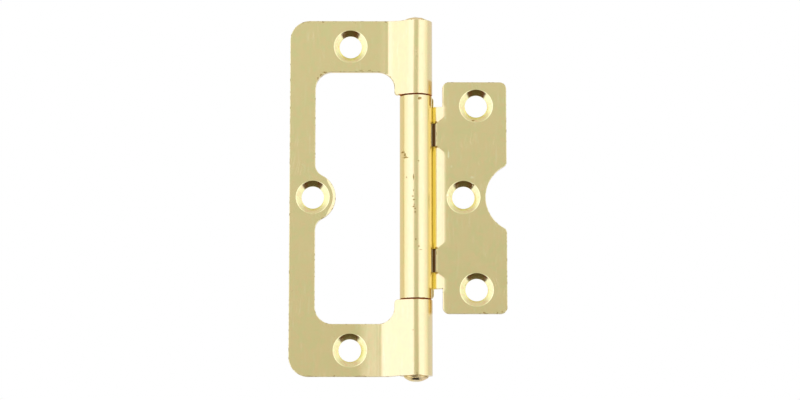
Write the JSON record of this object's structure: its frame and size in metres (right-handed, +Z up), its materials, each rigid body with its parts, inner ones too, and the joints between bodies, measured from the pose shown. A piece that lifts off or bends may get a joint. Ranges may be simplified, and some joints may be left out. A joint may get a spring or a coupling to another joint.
{
  "type": "flush hinge",
  "caption": "Flush door hinge of brass-plated sheet steel, opened flat: a small leaf that nests in the window of a larger one, joined by a headed pin.",
  "frame": {"origin": "on the pin's axis, half-way along its length", "axes": "+Z up along the pin, +X from the pin towards the small inner leaf, -Y out of the countersunk faces, as the hinge lies opened flat"},
  "size_m": [0.0606, 0.009, 0.1028],
  "materials": {
    "plated_sheet": "brass-plated sheet steel, polished with fine handling marks",
    "plated_pin": "brass-plated steel wire, riveted ends"
  },
  "bodies": {
    "outer_leaf": {"outer_leaf": "plated_sheet", "hinge_pin": "plated_pin"},
    "inner_leaf": {"inner_leaf": "plated_sheet"}
  },
  "joints": [
    {"name": "leaf_swing", "type": "hinge", "parent": "outer_leaf", "child": "inner_leaf", "pos_m": [0, 0, 0], "axis": [0, 0, -1], "continuous": true}
  ]
}
